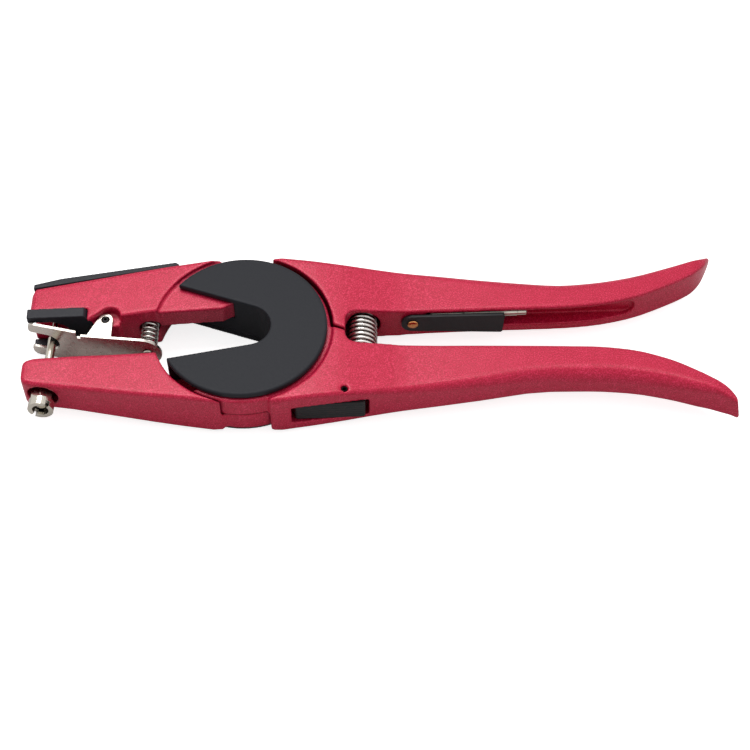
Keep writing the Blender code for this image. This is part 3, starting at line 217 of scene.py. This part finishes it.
def red_paint():
    """Fine-textured metallic crimson paint of the castings."""
    dark, ground, fleck = (0.42, 0.004, 0.032), (0.54, 0.007, 0.046), (0.74, 0.038, 0.112)
    look = Shader("red_textured_paint", ground, edge_radius=0.0004, metallic=0.12)
    look.put("Specular IOR Level", 0.16)
    look.put("Coat Weight", 0.30)
    look.put("Coat Roughness", 0.22)
    grain = look.noise(2300.0, roughness=0.55)
    mixed = look.add(grain, look.noise(260.0), share=0.12)
    flecked = look.ramp(mixed, (0.42, dark), (0.57, ground), (0.74, fleck))
    # Painted shade: the paint's colour falls to 0.30 of itself in gaps and inside corners
    look.feed("Base Color", look.with_painted_shade(flecked, reach=0.0032, share=0.30))
    look.rough(look.noise(900.0), low=0.34, high=0.44)
    look.bumps(grain, strength=0.48, distance=0.00022)
    look.bumps(look.noise(3600.0, roughness=0.6), strength=0.35, distance=0.00006)
    return look.material


def black_plastic(name, colour, texture, shine):
    """Moulded plastic or rubber, or a blackened part, with a fine texture."""
    look = Shader(name, colour, edge_radius=0.0003)
    look.put("Specular IOR Level", shine)
    look.rough(look.noise(1600.0), low=0.38, high=0.50)
    look.bumps(look.noise(2200.0, detail=3.0, roughness=0.6), texture, distance=0.00006)
    return look.material


def metal(name, colour, roughness, scratches=0.0):
    """Bare metal, with painted shade where it is hemmed in."""
    look = Shader(name, colour, edge_radius=0.00015, metallic=1.0)
    painted_shade_colour = tuple(0.16 * part for part in colour)
    # Painted shade: the colour falls to 0.16 of itself in gaps and hollows
    look.feed("Base Color", look.ramp(look.openness(0.0022), (0.25, painted_shade_colour), (0.90, colour)))
    if scratches:
        drawn = look.noise(900.0, detail=3.0, roughness=0.6, stretch=(1.0, 8.0, 8.0))
        look.bumps(drawn, scratches, distance=0.00004)
    look.rough(look.noise(500.0, detail=3.0), low=roughness * 0.75, high=roughness * 1.35)
    return look.material


insert_nylon = black_plastic("insert_nylon", (0.020, 0.020, 0.026), texture=0.30, shine=0.20)
rocker_nylon = black_plastic("rocker_nylon", (0.014, 0.014, 0.015), texture=0.20, shine=0.25)
blackened_steel = black_plastic("blackened_steel", (0.010, 0.010, 0.011), texture=0.10, shine=0.35)
# Near-black, almost unreflective material that paints shade into the lock pin's bores
bore_shade = black_plastic("bore_shade", (0.010, 0.009, 0.009), texture=0.20, shine=0.02)
wire_steel = metal("wire_steel", (0.60, 0.57, 0.54), roughness=0.24)

SLOT_LOOKS = {
    "red_paint": red_paint(),
    "black_nylon": black_plastic("black_nylon", (0.021, 0.022, 0.027), texture=0.40, shine=0.12),
    "black_rubber": black_plastic("black_strap", (0.013, 0.014, 0.016), texture=0.12, shine=0.30),
    "stainless": metal("clip_steel", (0.56, 0.52, 0.47), roughness=0.24, scratches=0.10),
    "spring_steel": wire_steel,
    "nickel": metal("nickel_plate", (0.56, 0.52, 0.45), roughness=0.18),
    "copper": metal("copper", (0.66, 0.29, 0.11), roughness=0.26),
}
NODE_LOOKS = {
    "tag_insert": insert_nylon,
    "lock_rocker": rocker_nylon,
    "clip_pivot_pin": blackened_steel,
}
SLOTS = {entry["node"]: entry["material_slot"] for entry in frame["record"]["subparts"]}
for node, slot in SLOTS.items():
    for place in frame["nodes"][node].material_slots:
        place.material = NODE_LOOKS.get(node, SLOT_LOOKS[slot])


def shell(name, rings, closed, crease, look):
    """Piece with faces from each ring of points to the next, and then to the first or capped."""
    bm = bmesh.new()
    loops = [[bm.verts.new(place) for place in ring] for ring in rings]
    pairs = list(zip(loops, loops[1:]))
    if closed:
        pairs.append((loops[-1], loops[0]))
    for lower, upper in pairs:
        for k in range(len(lower)):
            after = (k + 1) % len(lower)
            bm.faces.new((lower[k], lower[after], upper[after], upper[k]))
    if not closed:
        bm.faces.new(loops[0])
        bm.faces.new(loops[-1])
    bmesh.ops.recalc_face_normals(bm, faces=bm.faces)
    mesh = bpy.data.meshes.new(name)
    bm.to_mesh(mesh)
    bm.free()
    mesh.shade_smooth()
    mesh.set_sharp_from_angle(angle=radians(crease))
    mesh.materials.append(look)
    piece = bpy.data.objects.new(name, mesh)
    pieces.objects.link(piece)
    return piece


def directions(count):
    """Cosine and sine of equal steps round a circle."""
    return [(cos(2.0 * pi * k / count), sin(2.0 * pi * k / count)) for k in range(count)]


def add_bore(name, axis_place, low, high):
    """Dark, near-matt tube of painted shade in a bore of the anvil lever, from one height to another."""
    rings = []
    for radius, height in ((BORE_INNER, low), (BORE_OUTER, low), (BORE_OUTER, high), (BORE_INNER, high)):
        ring = []
        for across, along in directions(BORE_SIDES):
            ring.append((axis_place.x + radius * across, axis_place.y + radius * along, height))
        rings.append(ring)
    bore = shell(name, rings, closed=True, crease=BORE_CREASE, look=bore_shade)
    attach(bore, "anvil_lever")


def add_lock_pin_bores():
    """Painted shade as dark tubes in the bores above both ends of the sunk lock pin."""
    low, high = (Vector(corner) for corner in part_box("lock_pivot_pin"))
    axis_place = (low + high) / 2
    casting = frame["nodes"]["anvil_lever_casting"]
    inward = casting.matrix_world.inverted()
    for name, end, side in (("front", high.z, 1.0), ("back", low.z, -1.0)):
        above = Vector((axis_place.x + PROBE_ASIDE, axis_place.y, end + PROBE_RISE * side))
        start = inward @ above
        way = (inward @ (above - Vector((0, 0, side)))) - start
        hit, place, _, _ = casting.ray_cast(start, way)
        face = (casting.matrix_world @ place).z if hit else end + USUAL_DEPTH * side
        mouth = face - MOUTH_DEPTH * side
        add_bore("lock_pin_bore_shade_" + name, axis_place, min(end, mouth), max(end, mouth))


def evaluated(body):
    """The mesh that the modifiers of an object give."""
    bpy.context.view_layer.update()
    graph = bpy.context.evaluated_depsgraph_get()
    return bpy.data.meshes.new_from_object(body.evaluated_get(graph))


def add_smooth(body, rounds, group=""):
    smooth = body.modifiers.new("smooth", "SMOOTH")
    smooth.factor = 0.5
    smooth.iterations = rounds
    smooth.vertex_group = group


def mark_corners(body, corners):
    """Vertex group that fades out round upright lines at the named places."""
    group = body.vertex_groups.new(name="corners")
    for vertex in body.data.vertices:
        place = (body.matrix_world @ vertex.co).xy
        away = min((place - corner).length for corner in corners) / CORNER_REACH
        if away < 1.0:
            group.add([vertex.index], 1.0 - away ** 2, "REPLACE")
    return group.name


def softened(node, rides_on, voxel, rounds, faces, corners=()):
    """Copy of a moulded or cast piece with its edges and corners worn round."""
    source = frame["nodes"][node]
    body = bpy.data.objects.new(node + "_rounded", source.data.copy())
    body.matrix_world = source.matrix_world.copy()
    pieces.objects.link(body)
    remesh = body.modifiers.new("voxels", "REMESH")
    remesh.mode = "VOXEL"
    remesh.voxel_size = voxel
    body.data = evaluated(body)
    body.modifiers.clear()
    if corners:
        add_smooth(body, CORNER_ROUNDS, mark_corners(body, corners))
    add_smooth(body, rounds)
    count = sum(len(face.vertices) - 2 for face in body.data.polygons)
    reduce = body.modifiers.new("reduce", "DECIMATE")
    reduce.ratio = min(1.0, faces / count)
    body.data = evaluated(body)
    body.modifiers.clear()
    body.vertex_groups.clear()
    body.data.shade_smooth()
    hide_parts(node)
    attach(body, rides_on)


def add_spring(node, wire, turns):
    """Round wire in a spring's place along Y, closed at both ends."""
    low, high = (Vector(corner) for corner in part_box(node))
    start = Vector(((low.x + high.x) / 2, low.y, (low.z + high.z) / 2))
    radius = (high.x - low.x) / 2 - wire
    length = high.y - low.y
    climb = length - 2.0 * wire - 4.0 * wire * CLOSED_TURNS
    up = Vector((0.0, 1.0, 0.0))
    rings = []
    for step in range(int(turns * COIL_STEPS) + 1):
        # Share of the open turns below this point, and how many closed turns are
        turn = step / COIL_STEPS
        live = min(max((turn - CLOSED_TURNS) / (turns - 2.0 * CLOSED_TURNS), 0.0), 1.0)
        flat = min(turn, CLOSED_TURNS) + max(turn - (turns - CLOSED_TURNS), 0.0)
        rise = wire + 2.0 * wire * flat + live * climb
        angle = 2.0 * pi * turn
        out = Vector((cos(angle), 0.0, sin(angle)))
        point = start + radius * out + up * rise
        ring = []
        for outward, upward in directions(WIRE_SIDES):
            ring.append(point + wire * (outward * out + upward * up))
        rings.append(ring)
    spring = shell(node + "_wire", rings, closed=False, crease=WIRE_CREASE, look=wire_steel)
    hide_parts(node)
    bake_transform(spring)


# The bores come first, because their rays need the castings that softened() replaces
add_lock_pin_bores()
softened("anvil_lever_casting", "anvil_lever", voxel=0.00038, rounds=7, faces=180000, corners=ANVIL_CORNERS)
softened("pin_lever_casting", "pin_lever", voxel=0.00038, rounds=7, faces=180000, corners=PIN_CORNERS)
softened("front_hub_cover", "pin_lever", voxel=0.00030, rounds=3, faces=60000)
softened("back_hub_cover", "pin_lever", voxel=0.00030, rounds=3, faces=60000)
softened("tag_insert", "anvil_lever", voxel=0.00025, rounds=2, faces=50000)
softened("lock_rocker", "lock_rocker", voxel=0.00025, rounds=2, faces=40000)
add_spring("handle_spring", wire=0.0007, turns=15)
add_spring("clip_spring", wire=0.00045, turns=7)
add_spring("lock_spring", wire=0.00025, turns=6)


def area_lamp(name, place, target, side, power):
    lamp = bpy.data.lights.new(name, "AREA")
    lamp.shape = "SQUARE"
    lamp.size = side
    lamp.energy = power
    body = bpy.data.objects.new(name, lamp)
    body.location = place
    body.rotation_euler = (Vector(target) - Vector(place)).to_track_quat("-Z", "Y").to_euler()
    studio.objects.link(body)


def add_floor():
    """Floor that takes the tool's shadow, lifted to white for the camera alone."""
    mesh = bpy.data.meshes.new("floor")
    corners = [(across * FLOOR_REACH, along * FLOOR_REACH, 0)
               for across, along in ((-1, -1), (1, -1), (1, 1), (-1, 1))]
    mesh.from_pydata(corners, [], [(0, 1, 2, 3)])
    floor = bpy.data.objects.new("floor", mesh)
    floor.location = (0.0, 0.0, FLOOR_HEIGHT)
    studio.objects.link(floor)
    look = bpy.data.materials.new("floor_white")
    look.use_nodes = True
    nodes, links = look.node_tree.nodes, look.node_tree.links
    surface = nodes["Principled BSDF"]
    surface.inputs["Base Color"].default_value = FLOOR_COLOUR
    surface.inputs["Roughness"].default_value = FLOOR_ROUGHNESS
    surface.inputs["Specular IOR Level"].default_value = FLOOR_SPECULAR
    surface.inputs["Emission Color"].default_value = WHITE
    path = nodes.new("ShaderNodeLightPath")
    glow = nodes.new("ShaderNodeMath")
    glow.operation = "MULTIPLY"
    glow.inputs[1].default_value = FLOOR_GLOW
    links.new(path.outputs["Is Camera Ray"], glow.inputs[0])
    links.new(glow.outputs["Value"], surface.inputs["Emission Strength"])
    mesh.materials.append(look)


def light_studio():
    """Two lamps and a world that is white to the camera, in reflections and through glass."""
    world = bpy.data.worlds.new("studio")
    bpy.context.scene.world = world
    world.use_nodes = True
    nodes, links = world.node_tree.nodes, world.node_tree.links
    background = nodes["Background"]
    background.inputs["Color"].default_value = WHITE
    path = nodes.new("ShaderNodeLightPath")
    seen = path.outputs["Is Camera Ray"]
    for ray in ("Is Glossy Ray", "Is Transmission Ray"):
        either = nodes.new("ShaderNodeMath")
        either.operation = "MAXIMUM"
        links.new(seen, either.inputs[0])
        links.new(path.outputs[ray], either.inputs[1])
        seen = either.outputs["Value"]
    level = nodes.new("ShaderNodeMapRange")
    level.inputs["To Min"].default_value = WORLD_LIGHT
    level.inputs["To Max"].default_value = 1.0
    links.new(seen, level.inputs["Value"])
    links.new(level.outputs["Result"], background.inputs["Strength"])
    area_lamp("key", place=(-0.26, 0.60, 1.53), target=(-0.05, 0.0, 0.0), side=0.9, power=15.5)
    area_lamp("fill", place=(0.50, -0.10, 0.80), target=(0.0, 0.0, 0.0), side=0.5, power=0.8)


def add_camera():
    view = bpy.data.cameras.new("camera")
    view.sensor_width = SENSOR_WIDTH
    view.lens = FOCAL_LENGTH
    view.clip_start = 0.01
    camera = bpy.data.objects.new("camera", view)
    camera.location = CAMERA_PLACE
    camera.rotation_euler = (CAMERA_TARGET - CAMERA_PLACE).to_track_quat("-Z", "Y").to_euler()
    studio.objects.link(camera)
    bpy.context.scene.camera = camera


add_floor()
light_studio()
add_camera()
bpy.context.scene.view_settings.view_transform = "Standard"
